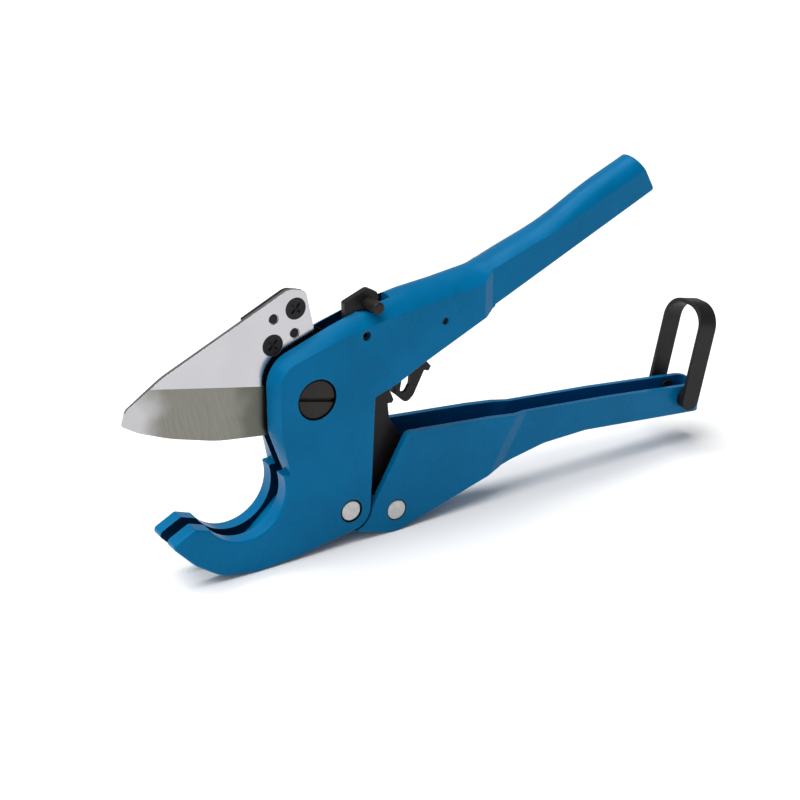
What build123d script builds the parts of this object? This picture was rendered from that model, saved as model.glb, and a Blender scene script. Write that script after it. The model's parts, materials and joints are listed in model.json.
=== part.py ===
from build123d import *
import math
import os

# Ratchet pipe cutter for plastic pipe up to 42 mm.  Millimetres.
# Drawing frame: the blade pivot axis is X = 0, Z = 0, the middle plane is Y = 0, the jaw points
# towards -X, both handles towards +X, and +Z is up.  stand_on_floor() moves every finished piece
# so that the tool stands on Z = 0 with the middle of its box at X = 0.

# ---- driving dimensions -------------------------------------------------------------------
BODY_HALF = 10.0          # half thickness of head, jaw and lever front
GRIP_HALF = 8.0           # half thickness of both grips
SLOT_HALF = 3.3           # half width of the blade slot
HEAD_WALL = 2.8           # wall of the channels beside the mechanism
GRIP_WALL = 2.4           # wall of the channels in the grips
INNER_HALF = BODY_HALF - HEAD_WALL
GRIP_INNER_HALF = GRIP_HALF - GRIP_WALL
GAP = 0.05                # radial running clearance of pins and bores

HINGE = (15.0, -53.8)     # lever hinge, X and Z
PAWL_PIN = (37.0, -59.3)  # drive pawl pin in the lever
TRIGGER_PIN = (23.3, 22.2)
SPRING_PIN = (60.8, 20.9)
THUMB_PIN = (27.9, 33.5)
THUMB_RADIUS = 2.6
BAIL_PIN = (195.5, -45.6)

HUB_RADIUS = 25.0         # ratchet crest radius
TOOTH_DEPTH = 2.2
TOOTH_PITCH = 6.5         # degrees
TEETH = 16
FIRST_TOOTH = -77.0       # degrees, lowest tooth
PAWL_CLEAR = 0.35         # pawl nose to ratchet crest

BLADE_NEAR = -1.25        # near face of the blade, Y
BLADE_FAR = 0.55
CARRIER_FAR = 2.95
PAWL_NEAR = -2.6
LATCH_NEAR = -3.0
LATCH_FAR = -0.35
BLADE_SCREWS = ((-4.0, 36.8), (-14.6, 23.5))
BLADE_DOWELS = ((-13.8, 34.3), (-4.7, 26.6))

RIVET_HEAD = 4.4
RIVET_SHANK = 3.5
RIVET_RECESS = 5.1

BAIL_INNER_HALF = 11.0
BAIL_STRAP = 1.8
BAIL_WIDTH = 9.4
BAIL_LENGTH = 44.7        # pivot to top of the arch, outside
BAIL_CORNER = 10.8        # outside radius of the arch's shoulders
BAIL_LEAN = 12.2          # degrees towards +X

# The tool's box in the drawing frame: middle in X, and the floor it stands on.
MIDDLE_X = 64.79
FLOOR_Z = -69.37


# ---- helpers ------------------------------------------------------------------------------
def outline(corners):
    """Face in X and Z from (x, z, corner radius) points."""
    points = [(x, z) for x, z, radius in corners]
    radii = [radius for x, z, radius in corners]
    return make_face(FilletPolyline(points, radius=radii, close=True))


def prism(face, near, far):
    """Solid of a face drawn in X and Z, between Y = near and Y = far."""
    return extrude(Plane.XZ.offset(-far) * face, far - near)


def disc(centre, radius):
    """Round face about a point given in X and Z."""
    return Pos(centre[0], centre[1]) * Circle(radius)


def rod(centre, radius, near, far):
    """Round bar along Y."""
    return prism(disc(centre, radius), near, far)


def polar(radius, degrees):
    """Point in X and Z at an angle from +X, turning towards +Z."""
    angle = math.radians(degrees)
    return (radius * math.cos(angle), radius * math.sin(angle))


def stand_on_floor(shape):
    """Move a finished piece from the drawing frame to the floor frame."""
    return Pos(-MIDDLE_X, 0, -FLOOR_Z) * shape


def save(name, pieces):
    """Write one node: a single solid, or several separate ones."""
    shape = Compound(children=list(pieces)) if len(pieces) > 1 else pieces[0]
    export_step(stand_on_floor(shape), "parts/" + name + ".step")


def spiral(centre, inner, turns, growth, near, far, strip=0.8):
    """Flat spiral spring: half circles that grow outwards, lying between two planes."""
    line = []
    radius = inner
    x = centre[0] + inner
    side = 1
    for _ in range(int(turns * 2)):
        end = x - side * 2 * (radius + growth / 4)
        middle = ((x + end) / 2, centre[1] + side * (radius + growth / 4))
        line.append(ThreePointArc((x, centre[1]), middle, (end, centre[1])))
        x = end
        radius += growth / 2
        side = -side
    path = Wire(line)
    return prism(make_face(offset_strip(path, strip)), near, far)


def offset_strip(path, width):
    """Closed outline of a strip along an open flat path."""
    return path.offset_2d(width / 2, closed=True, side=Side.BOTH)


def coil(start, direction, length, radius, wire, pitch):
    """Round wire wound on a straight axis."""
    helix = Helix(pitch=pitch, height=length, radius=radius, center=start, direction=direction)
    section = Plane(origin=helix @ 0, z_dir=helix % 0) * Circle(wire / 2)
    return sweep(section, path=helix, is_frenet=True)


# ---- main casting: jaw, head and upper handle in one ------------------------------------------
HEAD_CROWN = (            # X, height of the side walls' rim, height of the ridge
    (-6.0, 18.2, 22.2), (10.0, 22.9, 28.0), (24.0, 26.0, 32.2), (45.0, 29.2, 35.7),
    (62.0, 30.9, 37.3), (79.0, 33.0, 39.5), (87.0, 36.8, 41.5))
GRIP_CROWN = (            # the same for the narrower grip
    (85.0, 37.9, 40.8), (91.0, 39.9, 42.8), (105.0, 44.7, 47.8), (118.0, 49.2, 53.0),
    (131.0, 54.5, 59.9), (145.0, 60.3, 66.9), (157.0, 65.0, 72.0), (172.0, 70.6, 77.4))
FRONT = -19.5             # front of the head at the blade slot
FRONT_ROUND = 3.2         # how far the front curves back towards the sides


def head_section(share, wall):
    """Side view of the head's space at a share of the way from the ridge to the side walls."""
    top = [(x, ridge - (ridge - shoulder) * share - wall, 30.0)
           for x, shoulder, ridge in HEAD_CROWN[:-1]]
    x, shoulder, ridge = HEAD_CROWN[-1]
    front = FRONT + FRONT_ROUND * share + wall
    slope = (top[1][1] - top[0][1]) / (top[1][0] - top[0][0])
    corner = (front, top[0][1] - slope * (top[0][0] - front), 14.0 - 4.0 * share)
    return outline([
        corner, *top[1:], (x, ridge - (ridge - shoulder) * share - wall, 0), (x, -80, 0),
        (-13.0, -80, 0), (-13.0, -30, 0), (front, -11.5, 0)])


def head_envelope(wall=0.0):
    """Space under the arched top and the rounded front, or inside it when a wall is given."""
    half = BODY_HALF - wall
    sections = []
    for share in (-1.0, -0.8, -0.5, 0.0, 0.5, 0.8, 1.0):
        plane = Plane.XZ.offset(-half * share)
        sections.append(plane * head_section(share * share, wall))
    return loft(sections)


def head_plan():
    """Plan view of head and jaw: parallel sides that narrow to the grip at the rear."""
    points = Polyline((-80, -BODY_HALF), (80.5, -BODY_HALF), (85.5, -GRIP_HALF), (87, -GRIP_HALF),
                      (87, GRIP_HALF), (85.5, GRIP_HALF), (80.5, BODY_HALF), (-80, BODY_HALF),
                      close=True)
    return Pos(0, 0, -80) * extrude(make_face(points), 160)


def grip_crown():
    """Solid under the arched back of the grip."""
    sections = []
    for x, shoulder, ridge in GRIP_CROWN:
        walls = Polyline((GRIP_HALF, shoulder), (GRIP_HALF, -80), (-GRIP_HALF, -80), (-GRIP_HALF, shoulder))
        arch = ThreePointArc((-GRIP_HALF, shoulder), (0, ridge), (GRIP_HALF, shoulder))
        sections.append(Plane.YZ.offset(x) * make_face([walls, arch]))
    return loft(sections)


def head_outline():
    """Side view of jaw and head, with the pipe seat."""
    face = outline((
        (-19.5, -11.5, 0), (-24.0, -8.0, 0), (-24.0, 50.0, 0), (87.0, 50.0, 0),
        (87.0, 21.7, 0), (81.5, 17.9, 3.0), (50.0, 4.0, 8.0), (38.0, -2.0, 4.0),
        (27.3, -5.6, 1.5), (25.5, -41.0, 60.0), (24.75, -51.0, 0), (24.6, -62.15, 0),
        (-12.0, -68.2, 20.0), (-29.0, -69.45, 14.0), (-45.0, -66.9, 20.0), (-56.5, -58.6, 20.0),
        (-66.2, -47.9, 2.0), (-55.8, -42.6, 1.2), (-48.6, -45.2, 0), (-15.4, -30.0, 0),
        (-17.4, -20.8, 0)))
    knuckle = outline(((16.62, -53.8, 0), (40, -53.8, 0), (40, -80, 0), (16.62, -80, 0)))
    face -= knuckle - disc(HINGE, 9.8)
    return face - disc((-33.5, -35.2), 18.4)


def rims(block, half, wanted):
    """Outline edges on both side faces of a plate whose middle point is wanted."""
    edges = block.edges().filter_by(lambda edge: abs(abs(edge.center().Y) - half) < 0.01)
    return edges.filter_by(lambda edge: wanted(edge.center()))


def head_block():
    """Head and jaw with their outline edges rounded over."""
    block = prism(head_outline(), -BODY_HALF, BODY_HALF)
    block = fillet(rims(
        block, BODY_HALF, lambda at: at.X < 82 and at.Z < 20 and (at.X > 4 or at.Z < -12)), 1.0)
    jaw = Pos(-50, 0, -58) * Box(74, 2 * BODY_HALF, 56)
    return block & (head_envelope() + jaw) & head_plan()


def grip_block():
    """Upper grip: flat sides, an arched back and a rounded end."""
    side = outline((
        (85.0, 20.8, 0), (85.0, 90.0, 0), (149.3, 90.0, 0), (165.3, 67.5, 0), (170.2, 58.6, 1.5)))
    block = prism(side, -GRIP_HALF, GRIP_HALF) & grip_crown()
    ends = block.edges().filter_by(lambda edge: edge.center().X > 159.5 and edge.center().Z > 60)
    return fillet(ends, 1.2)


def slot_outline():
    """Blade slot: open at the front, the top and the rear; its floor clears the closed blade."""
    clear = HUB_RADIUS + 2.5
    start = polar(clear, -46)
    end = polar(clear, -82)
    rim = ThreePointArc(start, polar(clear, -64), end)
    edge = Polyline(end, (-10, -41.8), (-26, -56), (-45, -67.6), (-56, -75), (-95, -75), (-95, 60),
                    (38, 60), (38, 8), (60, -5), (60, -75), (9, -75), (5.3, -58), (5.3, -50),
                    (12, -43), start)
    return make_face([rim, edge])


def handle_cavity():
    """Hollow of the upper handle, open along its underside, with an arched roof."""
    wide = outline(((33, -14, 0), (33, 60, 0), (79.5, 60, 0), (79.5, -14, 0)))
    wide = prism(wide, -BODY_HALF, BODY_HALF) & head_envelope(HEAD_WALL)
    narrow = prism(outline((
        (79.4, -14, 0), (79.4, 34.6, 0), (100.0, 42.4, 40.0), (113.0, 47.0, 30.0),
        (159.0, 66.4, 0), (166.6, 55.0, 0), (166.6, -14, 0))), -GRIP_INNER_HALF, GRIP_INNER_HALF)
    return wide + narrow


def body_casting():
    solid = head_block() + grip_block()
    solid -= prism(slot_outline(), -SLOT_HALF, SLOT_HALF)
    solid -= handle_cavity()
    solid -= rod((0, 0), 8.7, -BODY_HALF, -6.1)
    solid -= rod((0, 0), 5.05, -BODY_HALF, BODY_HALF)
    solid -= rod((0, 0), 9.1, 7.4, BODY_HALF)
    solid -= rod((0, 0), 12.0, SLOT_HALF, 5.4)
    solid -= rod(HINGE, RIVET_SHANK, -BODY_HALF, BODY_HALF)
    solid -= rod(HINGE, RIVET_RECESS, -BODY_HALF, -8.4)
    solid -= rod(HINGE, RIVET_RECESS, 8.4, BODY_HALF)
    solid -= rod(HINGE, 7.4, SLOT_HALF, 5.4)
    solid -= rod(TRIGGER_PIN, 2.0, -BODY_HALF, BODY_HALF)
    solid -= rod(SPRING_PIN, 1.6, -BODY_HALF, BODY_HALF)
    return solid - thumb_groove()


def thumb_groove():
    """Groove across the crown that the latch's thumb pin swings in."""
    face = outline(((21.0, 31.0, 2.0), (21.0, 50, 0), (31.4, 50, 0), (31.4, 29.9, 2.8)))
    return prism(face, -BODY_HALF, 0)


# ---- blade pivot ------------------------------------------------------------------------------
def pivot_screw():
    head = rod((0, 0), 8.3, -9.6, -6.1)
    head = chamfer(head.edges().group_by(Axis.Y)[0], 0.5)
    slot = Rot(0, 13.5, 0) * (Pos(0, -9.6, 0) * Box(20, 3.2, 1.9))
    shank = rod((0, 0), 5.0, -6.1, 7.4)
    thread = rod((0, 0), 4.0, 7.4, 9.7)
    return head - slot + shank + thread


def pivot_nut():
    hexagon = RegularPolygon(7.4, 6, major_radius=True)
    return prism(hexagon - Circle(4.0), 7.4 + 0.6, 9.7)


def pivot_washer():
    return prism(Circle(8.6) - Circle(4.1), 7.4, 8.0)


def pivot_bush():
    return prism(Circle(6.5) - Circle(5.0), -3.25, 5.3)


# ---- blade assembly ---------------------------------------------------------------------------
def blade():
    face = outline((
        (-79.8, 4.2, 1.2), (-77.8, 10.2, 4.0), (-62.0, 20.3, 30.0), (-6.6, 45.4, 6.0),
        (0.7, 43.4, 3.0), (4.6, 23.5, 0), (2.0, 11.0, 0), (-3, 4, 0), (-6.4, -14.4, 0),
        (-18.0, -14.6, 30.0), (-40.0, -11.8, 60.0), (-60.0, -5.8, 60.0), (-73.0, -0.2, 10.0)))
    face -= Circle(10.0)
    solid = prism(face, BLADE_NEAR, BLADE_FAR)
    solid -= edge_wedge(BLADE_NEAR, -1)
    solid -= edge_wedge(BLADE_FAR, 1)
    for place in BLADE_SCREWS:
        solid -= screw_cone(place, 0.04)
    for place in BLADE_DOWELS:
        solid -= rod(place, 2.2, BLADE_NEAR, BLADE_NEAR + 0.6)
        solid -= rod(place, 1.9, BLADE_NEAR, BLADE_FAR)
    return solid


def edge_wedge(face_y, side):
    """Wedge that grinds one side of the blade from the grind line down to the edge."""
    line_start = Vector(-66.0, 0, 16.6)
    line_end = Vector(-10.0, 0, 5.2)
    along = (line_end - line_start).normalized()
    down = Vector(along.Z, 0, -along.X)
    tilt = Vector(0, -side, 0) * 0.75 / 20.0
    plane = Plane(
        origin=line_start + Vector(0, face_y, 0), x_dir=along, z_dir=along.cross(down + tilt) * side)
    block = Rectangle(200, 80, align=(Align.CENTER, Align.MAX if side < 0 else Align.MIN))
    return extrude(plane * block, 3.0)


def screw_cone(place, grow):
    """Countersunk head of a blade screw, from the blade's near face to its far face."""
    flat = Plane(origin=(place[0], BLADE_NEAR, place[1]), x_dir=(1, 0, 0), z_dir=(0, 1, 0))
    inner = Plane(origin=(place[0], BLADE_FAR, place[1]), x_dir=(1, 0, 0), z_dir=(0, 1, 0))
    return loft([flat * Circle(4.5 + grow), inner * Circle(2.7 + grow)], ruled=True)


def blade_screws():
    screws = []
    for place in BLADE_SCREWS:
        screw = screw_cone(place, 0) + rod(place, 2.0, BLADE_FAR, CARRIER_FAR)
        for turn in (45, 135):
            bar = Pos(place[0], BLADE_NEAR, place[1]) * Rot(0, turn, 0) * Box(5.4, 1.6, 0.95)
            screw -= bar
        screws.append(screw)
    return screws


def blade_dowels():
    return [rod(place, 1.9, BLADE_NEAR + 0.5, CARRIER_FAR) for place in BLADE_DOWELS]


def ratchet_face():
    """Toothed sector about the pivot; the steep flanks face clockwise, towards the pawls."""
    points = [(0.0, 0.0)]
    for tooth in range(TEETH):
        low = FIRST_TOOTH + tooth * TOOTH_PITCH
        points.append(polar(HUB_RADIUS - TOOTH_DEPTH, low))
        points.append(polar(HUB_RADIUS, low + 0.6))
        points.append(polar(HUB_RADIUS, low + 1.6))
    points.append(polar(HUB_RADIUS - TOOTH_DEPTH, FIRST_TOOTH + TEETH * TOOTH_PITCH))
    return make_face(Polyline(points, close=True))


def blade_carrier():
    arm = outline((
        (-26.2, 36.0, 0.5), (-6.8, 44.9, 6.0), (0.2, 43.0, 3.0), (3.0, 28.0, 2.0), (14.6, 21.4, 2.0),
        (17.0, 14.0, 3.0), (13.0, -2.0, 0), (-12.0, -2.0, 4.0), (-22.0, 18.0, 3.0)))
    solid = prism(arm + ratchet_face() + Circle(13.0), BLADE_FAR, CARRIER_FAR)
    solid -= rod((0, 0), 6.5 + GAP, BLADE_FAR, CARRIER_FAR)
    for place in BLADE_SCREWS:
        solid -= rod(place, 2.0, BLADE_FAR, CARRIER_FAR)
    for place in BLADE_DOWELS:
        solid -= rod(place, 1.9, BLADE_FAR, CARRIER_FAR)
    return solid


# ---- trigger with the holding pawl, and the lock latch ----------------------------------------
def trigger():
    """Hanging hook that holds the ratchet, with a finger loop below the handle."""
    tip = polar(HUB_RADIUS + PAWL_CLEAR, 24)
    eye = disc(TRIGGER_PIN, 4.6)
    finger = outline((
        (19.4, 20.5, 0), (27.5, 20.5, 0), (29.2, 9.5, 2.0), (26.4, 6.4, 1.2), tip + (0,),
        (24.6, 13.5, 1.0)))
    arm = outline((
        (24.0, 18.4, 0), (27.4, 24.2, 0), (46.0, 14.0, 8.0), (58.6, -1.0, 0.5), (57.4, -2.9, 0.5),
        (55.2, -2.1, 0.4), (49.9, -12.2, 5.0), (46.4, -15.2, 2.6), (41.1, -10.0, 0.8),
        (41.1, 1.0, 4.0), (36.0, 8.5, 6.0)))
    arm -= outline((
        (45.2, 1.5, 0.8), (48.6, 1.5, 0.8), (48.0, -6.6, 1.5), (45.9, -9.8, 0.8), (43.4, -9.8, 0.6),
        (43.4, -8.0, 1.0)))
    lug = outline(((20.9, 24.0, 0), (25.9, 24.0, 0), (27.0, 29.6, 1.2), (22.6, 29.6, 1.2)))
    face = eye + finger + arm + lug
    face -= disc(TRIGGER_PIN, 2.0 + GAP)
    face -= disc((24.6, 27.7), 0.8)
    loop = arm - outline(((0, -40, 0), (0, 40, 0), (36, 40, 0), (36, -40, 0)))
    root = arm & outline(((36, -40, 0), (36, 40, 0), (41.5, 40, 0), (41.5, -40, 0)))
    plate = face - outline(((41.5, -40, 0), (41.5, 40, 0), (70, 40, 0), (70, -40, 0)))
    return (prism(plate, -0.05, CARRIER_FAR) + prism(root, PAWL_NEAR, -0.05)
            + prism(loop, PAWL_NEAR, PAWL_NEAR + 1.6))


def trigger_pin():
    return rod(TRIGGER_PIN, 2.0, -8.6, 8.6) - rod(TRIGGER_PIN, 1.0, -8.6, 8.6)


def spring_pin():
    return rod(SPRING_PIN, 1.6, -8.8, 8.8)


def trigger_spring():
    """Extension spring from the trigger's lug to the spring pin, with a ring at each end."""
    start = Vector(24.6, 1.45, 27.7)
    end = Vector(SPRING_PIN[0], 1.45, SPRING_PIN[1])
    along = (end - start).normalized()
    body_start = start + along * 4.0
    length = (end - start).length - 9.0
    wound = coil(body_start, along, length, 1.35, 0.7, 1.05)
    return wound


def lock_latch():
    plate = outline((
        (19.0, 21.0, 0), (17.2, 27.0, 3.0), (17.0, 35.4, 1.0), (28.0, 39.6, 3.0), (32.2, 37.2, 1.5),
        (33.0, 34.6, 1.5), (29.4, 29.0, 3.0), (27.6, 21.0, 0)))
    solid = prism(plate + disc(TRIGGER_PIN, 4.5), LATCH_NEAR, LATCH_FAR)
    return solid - rod(TRIGGER_PIN, 2.0 + GAP, -4, 4) - rod(THUMB_PIN, THUMB_RADIUS, -4, 4)


def latch_thumb_pin():
    pin = rod(THUMB_PIN, THUMB_RADIUS, -12.0, 0.5)
    ends = pin.edges().filter_by(GeomType.CIRCLE)
    return fillet(ends, 1.0)


# ---- lever ------------------------------------------------------------------------------------
def lever_side():
    face = outline((
        (17.2, -64.2, 0), (34.0, -68.9, 4.0), (38.0, -69.1, 3.0), (97.0, -52.0, 12.0),
        (115.0, -48.6, 20.0), (138.0, -48.0, 20.0), (207.6, -54.6, 1.5), (207.6, -41.2, 2.0),
        (150.0, -35.0, 60.0), (100.0, -30.7, 15.0), (85.0, -28.8, 8.0), (42.6, -24.9, 3.0),
        (25.2, -55.3, 0)))
    return face - disc(HINGE, 10.5)


def lever_plan(half_wide, half_narrow, rear, corner):
    """Plan view of the lever: wide at the front, narrow along the grip, round at the end."""
    grip = outline((
        (0, -half_narrow, 0), (rear, -half_narrow, corner), (rear, half_narrow, corner),
        (0, half_narrow, 0)))
    front = outline((
        (-40, -half_wide, 0), (70.0, -half_wide, 3.0), (77.0, -half_narrow, 0),
        (77.0, half_narrow, 0), (70.0, half_wide, 3.0), (-40, half_wide, 0)))
    leaning = extrude(front, 80 / math.cos(math.radians(30)), dir=(0.5, 0, math.cos(math.radians(30))))
    return Pos(0, 0, -80) * (extrude(grip, 80) + leaning)


def lever_casting():
    solid = prism(lever_side(), -BODY_HALF, BODY_HALF)
    solid &= lever_plan(BODY_HALF, GRIP_HALF, 207.6, 6.0)
    hollow = outline((
        (8, 0, 0), (8, -53.0, 0), (29.6, -53.0, 0), (29.6, -66.0, 1.5), (37.0, -66.0, 1.5),
        (97.0, -49.0, 12.0), (115.0, -45.8, 20.0), (138.0, -45.4, 20.0), (205.2, -51.8, 1.0),
        (205.2, 0, 0)))
    inner = lever_plan(INNER_HALF, GRIP_INNER_HALF, 205.2, 3.5)
    solid -= prism(hollow, -BODY_HALF, BODY_HALF) & inner
    tongue = outline((
        (15.0, -45.6, 0), (22.0, -50.0, 0), (29.6, -55.0, 0), (29.6, -64.5, 0), (18.0, -61.8, 0),
        (12.0, -58.0, 0)))
    solid += prism(tongue + disc(HINGE, 8.6), -3.0, 3.0)
    solid -= rod(HINGE, RIVET_SHANK + GAP, -3.0, 3.0)
    solid -= rod(PAWL_PIN, 3.0, -BODY_HALF, BODY_HALF)
    solid -= rod(PAWL_PIN, 4.7, -BODY_HALF, -9.0)
    solid -= rod(PAWL_PIN, 4.7, 9.0, BODY_HALF)
    solid -= rod(BAIL_PIN, 2.5 + GAP, -GRIP_HALF, GRIP_HALF)
    return solid


def two_headed_pin(centre, shank, head, head_near, half):
    """Rivet along Y with a low domed head at each end."""
    pin = rod(centre, shank, -half, half)
    for near, far in ((-half, -head_near), (head_near, half)):
        cap = rod(centre, head, near, far)
        rim = cap.edges().group_by(Axis.Y)[0 if near < 0 else -1]
        pin += fillet(rim, 0.45)
    return pin


def hinge_rivet():
    return two_headed_pin(HINGE, RIVET_SHANK, RIVET_HEAD, 8.4, 9.8)


def pawl_rivet():
    return two_headed_pin(PAWL_PIN, 3.0, 4.35, 9.0, 10.1)


def pawl_spacers():
    ring = disc(PAWL_PIN, 4.4) - disc(PAWL_PIN, 3.0)
    return [prism(ring, CARRIER_FAR + 0.3, INNER_HALF)]


def drive_pawl():
    """Plate that pushes the ratchet round, one tooth at a time."""
    tip = polar(HUB_RADIUS + PAWL_CLEAR, -13.4)
    face = outline((
        tip + (0,), (30.0, -4.4, 1.0), (37.0, -5.4, 1.0), (38.9, -8.6, 1.5), (40.2, -12.2, 0.5),
        (39.3, -13.3, 0.4), (37.3, -13.0, 0.4), (38.0, -20.0, 4.0), (44.0, -29.0, 3.0),
        (43.0, -57.0, 0), (31.0, -59.5, 0), (27.2, -34.0, 8.0), (27.0, -13.0, 3.0)))
    face += disc(PAWL_PIN, 6.0)
    face -= disc(PAWL_PIN, 3.0 + GAP)
    return prism(face, PAWL_NEAR, CARRIER_FAR)


def pawl_spring():
    """Torsion spring round the pawl pin, in the space beside the pawl."""
    return coil(Vector(PAWL_PIN[0], -6.5, PAWL_PIN[1]), Vector(0, 1, 0), 3.1, 4.2, 0.9, 1.03)


# ---- bail -------------------------------------------------------------------------------------
def lean(shape):
    """Turn a piece drawn upright on the bail's pivot to the bail's lean."""
    return Pos(BAIL_PIN[0], 0, BAIL_PIN[1]) * Rot(0, BAIL_LEAN, 0) * shape


def arch(inset):
    """Front view of the bail's arch, filled, at a depth inside its outer face."""
    half = BAIL_INNER_HALF + BAIL_STRAP - inset
    top = BAIL_LENGTH - inset
    corner = BAIL_CORNER - inset
    return outline(((-half, -6, 0), (-half, top, corner), (half, top, corner), (half, -6, 0)))


def bail():
    outer = BAIL_INNER_HALF + BAIL_STRAP
    section = Plane.YZ * (arch(0) - arch(BAIL_STRAP))
    strap = extrude(section, BAIL_WIDTH / 2, both=True)
    ends = Pos(0, 0, BAIL_LENGTH / 2) * Box(BAIL_WIDTH, 60, BAIL_LENGTH)
    ends += Rot(90, 0, 0) * Cylinder(BAIL_WIDTH / 2, 60)
    strap &= ends
    return lean(strap) - rod(BAIL_PIN, 2.5, -outer, outer)


def bail_studs():
    outer = BAIL_INNER_HALF + BAIL_STRAP
    return [rod(BAIL_PIN, 2.5, -outer, -4.0), rod(BAIL_PIN, 2.5, 4.0, outer)]


def bail_washers():
    ring = disc(BAIL_PIN, 4.4) - disc(BAIL_PIN, 2.5 + GAP)
    edge = BAIL_INNER_HALF - 0.3
    return [prism(ring, -edge, -GRIP_HALF), prism(ring, GRIP_HALF, edge)]


def bail_clips():
    ring = disc(BAIL_PIN, 4.0) - disc(BAIL_PIN, 2.5)
    return [prism(ring, -4.9, -4.1), prism(ring, 4.1, 4.9)]


# ---- springs round the pivots -----------------------------------------------------------------
def blade_return_spring():
    return spiral((0, 0), 7.4, 2.0, 1.7, 3.5, 5.2)


def lever_return_spring():
    return spiral(HINGE, 4.2, 1.5, 1.5, 3.5, 5.2)


NODES = (
    ("body_casting", lambda: [body_casting()]),
    ("pivot_screw", lambda: [pivot_screw()]),
    ("pivot_nut", lambda: [pivot_nut()]),
    ("pivot_washer", lambda: [pivot_washer()]),
    ("pivot_bush", lambda: [pivot_bush()]),
    ("hinge_rivet", lambda: [hinge_rivet()]),
    ("trigger_pin", lambda: [trigger_pin()]),
    ("spring_pin", lambda: [spring_pin()]),
    ("blade_return_spring", lambda: [blade_return_spring()]),
    ("blade", lambda: [blade()]),
    ("blade_carrier", lambda: [blade_carrier()]),
    ("blade_screws", blade_screws),
    ("blade_dowels", blade_dowels),
    ("trigger", lambda: [trigger()]),
    ("trigger_spring", lambda: [trigger_spring()]),
    ("lock_latch", lambda: [lock_latch()]),
    ("latch_thumb_pin", lambda: [latch_thumb_pin()]),
    ("lever_casting", lambda: [lever_casting()]),
    ("lever_return_spring", lambda: [lever_return_spring()]),
    ("pawl_rivet", lambda: [pawl_rivet()]),
    ("pawl_spacers", pawl_spacers),
    ("drive_pawl", lambda: [drive_pawl()]),
    ("pawl_spring", lambda: [pawl_spring()]),
    ("bail", lambda: [bail()]),
    ("bail_studs", bail_studs),
    ("bail_washers", bail_washers),
    ("bail_clips", bail_clips),
)

os.makedirs("parts", exist_ok=True)
for node_name, make in NODES:
    save(node_name, make())
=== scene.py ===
import json
import math

import bpy
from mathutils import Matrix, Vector


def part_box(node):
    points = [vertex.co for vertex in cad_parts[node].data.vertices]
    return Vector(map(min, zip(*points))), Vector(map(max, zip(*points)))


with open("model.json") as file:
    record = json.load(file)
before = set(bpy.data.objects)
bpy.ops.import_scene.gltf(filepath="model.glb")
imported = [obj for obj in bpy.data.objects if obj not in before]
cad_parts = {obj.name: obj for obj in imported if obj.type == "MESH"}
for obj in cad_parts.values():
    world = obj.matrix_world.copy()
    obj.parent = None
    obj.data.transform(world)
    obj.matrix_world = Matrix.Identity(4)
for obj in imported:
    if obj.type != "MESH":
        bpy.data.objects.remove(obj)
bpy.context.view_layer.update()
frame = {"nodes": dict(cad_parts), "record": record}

# Object coordinates are metres in the row frame, so texture scales below are features per metre.
MM = 0.001

SLOT_WALL = 3.3 * MM      # half width of the blade slot
# Pins whose heads sit in a recess of the castings, with the radius out to which painted shade
# darkens the ring gap.
RECESS_SHADE = (("pivot_screw", 8.7 * MM), ("hinge_rivet", 5.1 * MM), ("pawl_rivet", 4.7 * MM))
BEVEL_TILT = (0.99975, 0.99945)   # cosine to the blade's sides where the ground bevel starts
EDGE_TILT = (0.90, 0.95)          # and where the blade's narrow edges begin
STONE_ANGLE = 11.5                # grinding marks on the bevel, degrees
POLISH_ANGLE = 27.0               # polishing marks on the blade's sides, degrees


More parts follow.
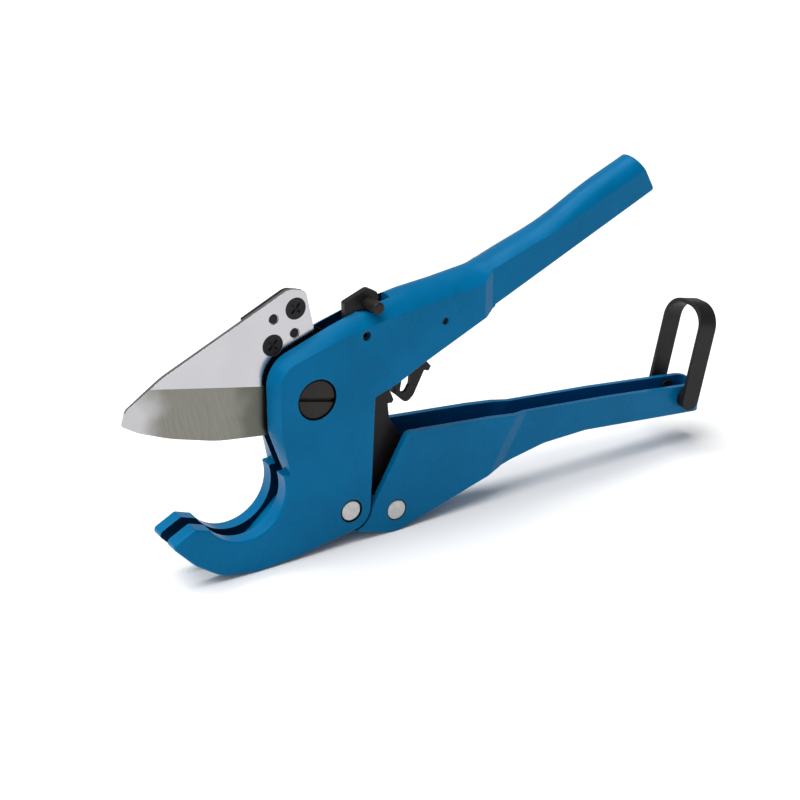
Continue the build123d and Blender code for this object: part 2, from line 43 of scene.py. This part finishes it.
# ---- node helpers -----------------------------------------------------------------------------
class Graph:
    """A material's node tree with a Principled BSDF, and short ways to add nodes to it."""

    def __init__(self, name):
        self.material = bpy.data.materials.new(name)
        self.material.use_nodes = True
        self.tree = self.material.node_tree
        self.tree.nodes.clear()
        self.output = self.tree.nodes.new("ShaderNodeOutputMaterial")
        self.shader = self.tree.nodes.new("ShaderNodeBsdfPrincipled")
        self.link(self.shader.outputs[0], self.output.inputs["Surface"])
        self.place = self.node("ShaderNodeTexCoord").outputs["Object"]

    def node(self, kind, **settings):
        made = self.tree.nodes.new(kind)
        for name, value in settings.items():
            setattr(made, name, value)
        return made

    def link(self, source, target):
        self.tree.links.new(source, target)

    def feed(self, socket, value):
        """Connect a socket, or set a plain value on it."""
        if isinstance(value, bpy.types.NodeSocket):
            self.link(value, socket)
        else:
            socket.default_value = value

    def stretched(self, scale, turn=0.0):
        """Object coordinates scaled per axis after a turn about Y, in degrees."""
        turned = self.node("ShaderNodeVectorRotate", rotation_type="Y_AXIS")
        self.feed(turned.inputs["Vector"], self.place)
        self.feed(turned.inputs["Angle"], math.radians(turn))
        scaled = self.node("ShaderNodeVectorMath", operation="MULTIPLY")
        self.feed(scaled.inputs[0], turned.outputs[0])
        self.feed(scaled.inputs[1], scale)
        return scaled.outputs[0]

    def noise(self, scale, detail=3.0, rough=0.5, place=None):
        made = self.node("ShaderNodeTexNoise")
        self.feed(made.inputs["Vector"], place or self.place)
        self.feed(made.inputs["Scale"], scale)
        self.feed(made.inputs["Detail"], detail)
        self.feed(made.inputs["Roughness"], rough)
        return made.outputs["Fac"]

    def ramp(self, value, low, high, out_low=0.0, out_high=1.0, kind="SMOOTHSTEP"):
        """Map low..high to out_low..out_high, clamped."""
        made = self.node("ShaderNodeMapRange", interpolation_type=kind)
        for name, number in (("Value", value), ("From Min", low), ("From Max", high),
                             ("To Min", out_low), ("To Max", out_high)):
            self.feed(made.inputs[name], number)
        return made.outputs[0]

    def math(self, operation, first, second=0.0):
        made = self.node("ShaderNodeMath", operation=operation)
        self.feed(made.inputs[0], first)
        self.feed(made.inputs[1], second)
        return made.outputs[0]

    def mix(self, amount, first, second):
        """Blend of two colours."""
        made = self.node("ShaderNodeMix", data_type="RGBA")
        self.feed(made.inputs["Factor"], amount)
        self.feed(made.inputs["A"], first)
        self.feed(made.inputs["B"], second)
        return made.outputs["Result"]

    def edges(self, radius, low, high):
        """1 along convex and concave edges within the radius, 0 on flat faces."""
        soft = self.node("ShaderNodeBevel", samples=6)
        self.feed(soft.inputs["Radius"], radius)
        sharp = self.node("ShaderNodeNewGeometry").outputs["Normal"]
        turned = self.node("ShaderNodeVectorMath", operation="DOT_PRODUCT")
        self.feed(turned.inputs[0], soft.outputs[0])
        self.feed(turned.inputs[1], sharp)
        return self.ramp(turned.outputs["Value"], high, low)

    def xyz(self, vector):
        made = self.node("ShaderNodeSeparateXYZ")
        self.feed(made.inputs[0], vector)
        return made.outputs

    def facing_in(self):
        """1 on walls that face the tool's middle plane, such as the insides of the channels."""
        place = self.xyz(self.place)["Y"]
        normal = self.xyz(self.node("ShaderNodeNewGeometry").outputs["True Normal"])["Y"]
        return self.ramp(self.math("MULTIPLY", place, normal), -1.5 * MM, -2.5 * MM)

    def slab(self, half):
        """1 within a distance of the middle plane."""
        return self.ramp(self.math("ABSOLUTE", self.xyz(self.place)["Y"]), half + 0.2 * MM, half)

    def around(self, node, reach):
        """1 within a distance of the axis of a pin that lies along Y, given by its CAD node."""
        low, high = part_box(node)
        middle = (low + high) / 2
        place = self.xyz(self.place)
        across = self.math("SUBTRACT", place["X"], middle.x)
        up = self.math("SUBTRACT", place["Z"], middle.z)
        squares = [self.math("MULTIPLY", side, side) for side in (across, up)]
        distance = self.math("SQRT", self.math("ADD", *squares))
        return self.ramp(distance, reach + 0.12 * MM, reach + 0.02 * MM)

    def bump(self, layers, soft_edge):
        """Stack bump layers, given as (height, strength, distance), on slightly rounded edges."""
        rounded = self.node("ShaderNodeBevel", samples=4)
        self.feed(rounded.inputs["Radius"], soft_edge)
        normal = rounded.outputs[0]
        for height, strength, distance in layers:
            made = self.node("ShaderNodeBump")
            self.feed(made.inputs["Height"], height)
            self.feed(made.inputs["Strength"], strength)
            self.feed(made.inputs["Distance"], distance)
            self.feed(made.inputs["Normal"], normal)
            normal = made.outputs[0]
        self.feed(self.shader.inputs["Normal"], normal)

    def surface(self, **values):
        for name, value in values.items():
            self.feed(self.shader.inputs[name.replace("_", " ")], value)


def rgb(red, green, blue):
    return (red, green, blue, 1.0)


# ---- materials --------------------------------------------------------------------------------
def painted_casting():
    """Blue powder paint over an aluminium die casting, with painted shade inside the channels, in
    the blade slot and in the ring gaps around the pin heads.
    """
    g = Graph("blue_powder_coat_and_shade")
    cloud = g.ramp(g.noise(28.0, 4.0, 0.55), 0.35, 0.65)
    coat_and_shade = g.mix(cloud, rgb(0.0, 0.104, 0.240), rgb(0.0, 0.122, 0.282))
    # Painted shade: walls that face the middle plane, inside the channels, are darkened.
    channel_shade = g.facing_in()
    # Painted shade: the blade slot's walls are darkened to near black.
    slot_shade = g.math("MULTIPLY", channel_shade, g.slab(SLOT_WALL))
    coat_and_shade = g.mix(channel_shade, coat_and_shade, rgb(0.0, 0.060, 0.190))
    coat_and_shade = g.mix(slot_shade, coat_and_shade, rgb(0.0, 0.014, 0.042))
    # Painted shade: near black in the ring gap around each pin head.
    for name, reach in RECESS_SHADE:
        coat_and_shade = g.mix(g.around(name, reach), coat_and_shade, rgb(0.004, 0.005, 0.006))
    rim = g.math("MULTIPLY", g.edges(0.5 * MM, 0.80, 0.985), g.math("SUBTRACT", 1.0, channel_shade))
    thin = g.mix(g.math("MULTIPLY", rim, 0.30), coat_and_shade, rgb(0.02, 0.24, 0.46))
    wear_spots = g.ramp(g.noise(420.0, 5.0, 0.7), 0.62, 0.70)
    worn = g.math("MULTIPLY", g.math("MULTIPLY", rim, wear_spots), 0.6)
    specks = g.ramp(g.noise(900.0, 2.0, 0.5), 0.775, 0.80)
    colour = g.mix(worn, thin, rgb(0.35, 0.37, 0.38))
    colour = g.mix(g.math("MULTIPLY", specks, 0.35), colour, rgb(0.25, 0.45, 0.60))
    rough = g.ramp(g.noise(160.0, 3.0, 0.6), 0.3, 0.7, 0.26, 0.38)
    g.surface(Base_Color=colour, Roughness=rough, Metallic=g.math("MULTIPLY", worn, 0.9),
              Specular_IOR_Level=0.22, Specular_Tint=rgb(0.10, 0.50, 0.90))
    g.bump((
        (g.noise(70.0, 2.0, 0.5), 0.20, 0.16 * MM),
        (g.noise(520.0, 2.0, 0.55), 0.18, 0.04 * MM),
        (g.noise(1900.0, 2.0, 0.5), 0.10, 0.02 * MM)), soft_edge=0.45 * MM)
    return g.material


def blade_steel():
    """Polished blade sides; the ground bevel is duller and fades out towards the tip."""
    g = Graph("polished_blade")
    sides = g.xyz(g.node("ShaderNodeNewGeometry").outputs["True Normal"])
    tilt = g.math("ABSOLUTE", sides["Y"])
    bevel = g.math("MULTIPLY", g.ramp(tilt, *BEVEL_TILT, kind="LINEAR"),
                   g.ramp(tilt, *EDGE_TILT, kind="LINEAR"))
    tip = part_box("blade")[0].x
    uneven = g.ramp(g.noise(60.0, 2.0, 0.5), 0.3, 0.7, -4 * MM, 4 * MM)
    drift = g.math("ADD", g.xyz(g.place)["X"], uneven)
    bevel = g.math("MULTIPLY", bevel, g.ramp(drift, tip + 3 * MM, tip + 21 * MM, 0.15, 1.0))
    brush = g.noise(1.0, 3.0, 0.6, g.stretched((60.0, 900.0, 2600.0), POLISH_ANGLE))
    grind = g.noise(1.0, 3.0, 0.65, g.stretched((3200.0, 900.0, 90.0), STONE_ANGLE))
    stain = g.ramp(g.noise(45.0, 4.0, 0.6), 0.42, 0.62)
    bright = g.mix(g.math("MULTIPLY", stain, 0.3), rgb(0.47, 0.47, 0.49), rgb(0.42, 0.42, 0.43))
    dull = g.mix(g.ramp(grind, 0.3, 0.7), rgb(0.175, 0.17, 0.148), rgb(0.215, 0.21, 0.185))
    near_head = g.ramp(drift, tip + 42 * MM, tip + 54 * MM)
    dull = g.mix(near_head, dull, rgb(0.118, 0.120, 0.100))
    polish = g.ramp(brush, 0.3, 0.7, 0.13, 0.20)
    g.surface(Base_Color=g.mix(bevel, bright, dull), Metallic=1.0,
              Roughness=g.math("ADD", polish, g.math("MULTIPLY", bevel, 0.16)))
    g.bump((
        (brush, 0.06, 0.01 * MM),
        (g.math("MULTIPLY", grind, bevel), 0.12, 0.02 * MM)), soft_edge=0.2 * MM)
    return g.material


def dark_steel(name, base, worn_colour, roughness, wear):
    """Black oxide or phosphate on steel, rubbed brighter along its edges."""
    g = Graph(name)
    patch = g.ramp(g.noise(90.0, 4.0, 0.6), 0.35, 0.65)
    rim = g.edges(0.45 * MM, 0.80, 0.985)
    rub = g.math("MULTIPLY", rim, g.ramp(g.noise(600.0, 4.0, 0.7), 0.42, 0.62))
    rub = g.math("MULTIPLY", rub, wear)
    dark = g.mix(patch, base, tuple(1.35 * c for c in base[:3]) + (1.0,))
    rough = g.ramp(g.noise(700.0, 3.0, 0.6), 0.3, 0.7, roughness - 0.06, roughness + 0.06)
    g.surface(Base_Color=g.mix(rub, dark, worn_colour), Metallic=0.1, Roughness=rough,
              Specular_IOR_Level=0.2)
    g.bump((
        (g.noise(900.0, 3.0, 0.6), 0.20, 0.03 * MM),
        (g.noise(4200.0, 2.0, 0.5), 0.15, 0.01 * MM)), soft_edge=0.35 * MM)
    return g.material


def bright_steel(name, base, roughness):
    """Zinc plate, turned or drawn steel, with fine marks."""
    g = Graph(name)
    patch = g.ramp(g.noise(420.0, 4.0, 0.65), 0.35, 0.65)
    marks = g.noise(1.0, 3.0, 0.6, g.stretched((2400.0, 600.0, 300.0), 30.0))
    tone = g.mix(g.math("MULTIPLY", patch, 0.6), base, tuple(0.72 * c for c in base[:3]) + (1.0,))
    g.surface(Base_Color=tone, Metallic=0.9,
              Roughness=g.ramp(marks, 0.3, 0.7, roughness - 0.05, roughness + 0.08))
    g.bump((
        (marks, 0.125, 0.02 * MM),
        (g.noise(900.0, 3.0, 0.6), 0.35, 0.05 * MM)), soft_edge=0.35 * MM)
    return g.material


def floor_paint():
    """Matt white studio floor."""
    g = Graph("studio_floor")
    tone = g.mix(g.noise(3.0, 2.0, 0.5), rgb(0.91, 0.91, 0.91), rgb(0.93, 0.93, 0.93))
    g.surface(Base_Color=tone, Roughness=0.6, Specular_IOR_Level=0.0)
    return g.material


MATERIALS = {
    "casting_paint": painted_casting(),
    "blade_steel": blade_steel(),
    "black_steel": dark_steel(
        "black_oxide", rgb(0.0085, 0.0080, 0.0092), rgb(0.12, 0.115, 0.11), 0.42, 0.25),
    "screw_steel": dark_steel(
        "dark_turned_steel", rgb(0.0135, 0.0115, 0.0092), rgb(0.14, 0.13, 0.12), 0.40, 0.3),
    "bright_steel": bright_steel("zinc_plate", rgb(0.56, 0.55, 0.54), 0.42),
    "spring_steel": bright_steel("spring_wire", rgb(0.30, 0.29, 0.28), 0.32),
    "bush_brass": bright_steel("turned_brass", rgb(0.62, 0.44, 0.18), 0.34),
}


def dress_nodes():
    """Give every CAD node the material of its slot in the record."""
    for part in frame["record"]["subparts"]:
        mesh = frame["nodes"][part["node"]].data
        mesh.materials.clear()
        mesh.materials.append(MATERIALS[part["material_slot"]])


dress_nodes()


# ---- studio -----------------------------------------------------------------------------------
def floor():
    mesh = bpy.data.meshes.new("floor")
    side = 25.0
    corners = [(-side, -side, 0), (side, -side, 0), (side, side, 0), (-side, side, 0)]
    mesh.from_pydata(corners, [], [(0, 1, 2, 3)])
    mesh.materials.append(floor_paint())
    made = bpy.data.objects.new("floor", mesh)
    bpy.context.scene.collection.objects.link(made)


def softbox(name, place, aim, size, power):
    light = bpy.data.lights.new(name, "AREA")
    light.shape = "RECTANGLE"
    light.size, light.size_y = size
    light.energy = power
    made = bpy.data.objects.new(name, light)
    made.location = place
    made.rotation_mode = "QUATERNION"
    made.rotation_quaternion = (Vector(aim) - Vector(place)).to_track_quat("-Z", "Y")
    bpy.context.scene.collection.objects.link(made)


def skylight(name, place, aim, spread, strength):
    """A very wide, distant lamp that lights the whole floor evenly; spread is in degrees."""
    light = bpy.data.lights.new(name, "SUN")
    light.angle = math.radians(spread)
    light.energy = strength
    made = bpy.data.objects.new(name, light)
    made.rotation_mode = "QUATERNION"
    made.rotation_quaternion = (Vector(aim) - Vector(place)).to_track_quat("-Z", "Y")
    bpy.context.scene.collection.objects.link(made)


def sky(strength):
    world = bpy.data.worlds.new("white_surround")
    world.use_nodes = True
    back = world.node_tree.nodes["Background"]
    back.inputs["Color"].default_value = rgb(1.0, 1.0, 1.0)
    back.inputs["Strength"].default_value = strength
    bpy.context.scene.world = world


def camera(azimuth, elevation, aim, distance, lens):
    """A camera on the line from the aim point at an azimuth and elevation, in degrees."""
    turn, rise = math.radians(azimuth), math.radians(elevation)
    level = math.cos(rise)
    back = Vector((math.sin(turn) * level, -math.cos(turn) * level, math.sin(rise)))
    data = bpy.data.cameras.new("camera")
    data.sensor_width = 36.0
    data.lens = lens
    made = bpy.data.objects.new("camera", data)
    made.rotation_mode = "QUATERNION"
    made.location = Vector(aim) + back * distance
    made.rotation_quaternion = (-back).to_track_quat("-Z", "Y")
    bpy.context.scene.collection.objects.link(made)
    bpy.context.scene.camera = made


floor()
sky(0.30)
skylight("overhead", (-0.7, 0.3, 2.3), (0, 0.1, 0.05), 62.0, 3.6)
softbox("front_left", (-1.2, -0.5, 0.55), (-0.05, 0, 0.06), (0.35, 0.8), 3.0)
camera(-32.19, 23.94, (-0.0372, -0.0276, 0.0695), 0.684, 77.6)
bpy.context.scene.view_settings.view_transform = "Standard"
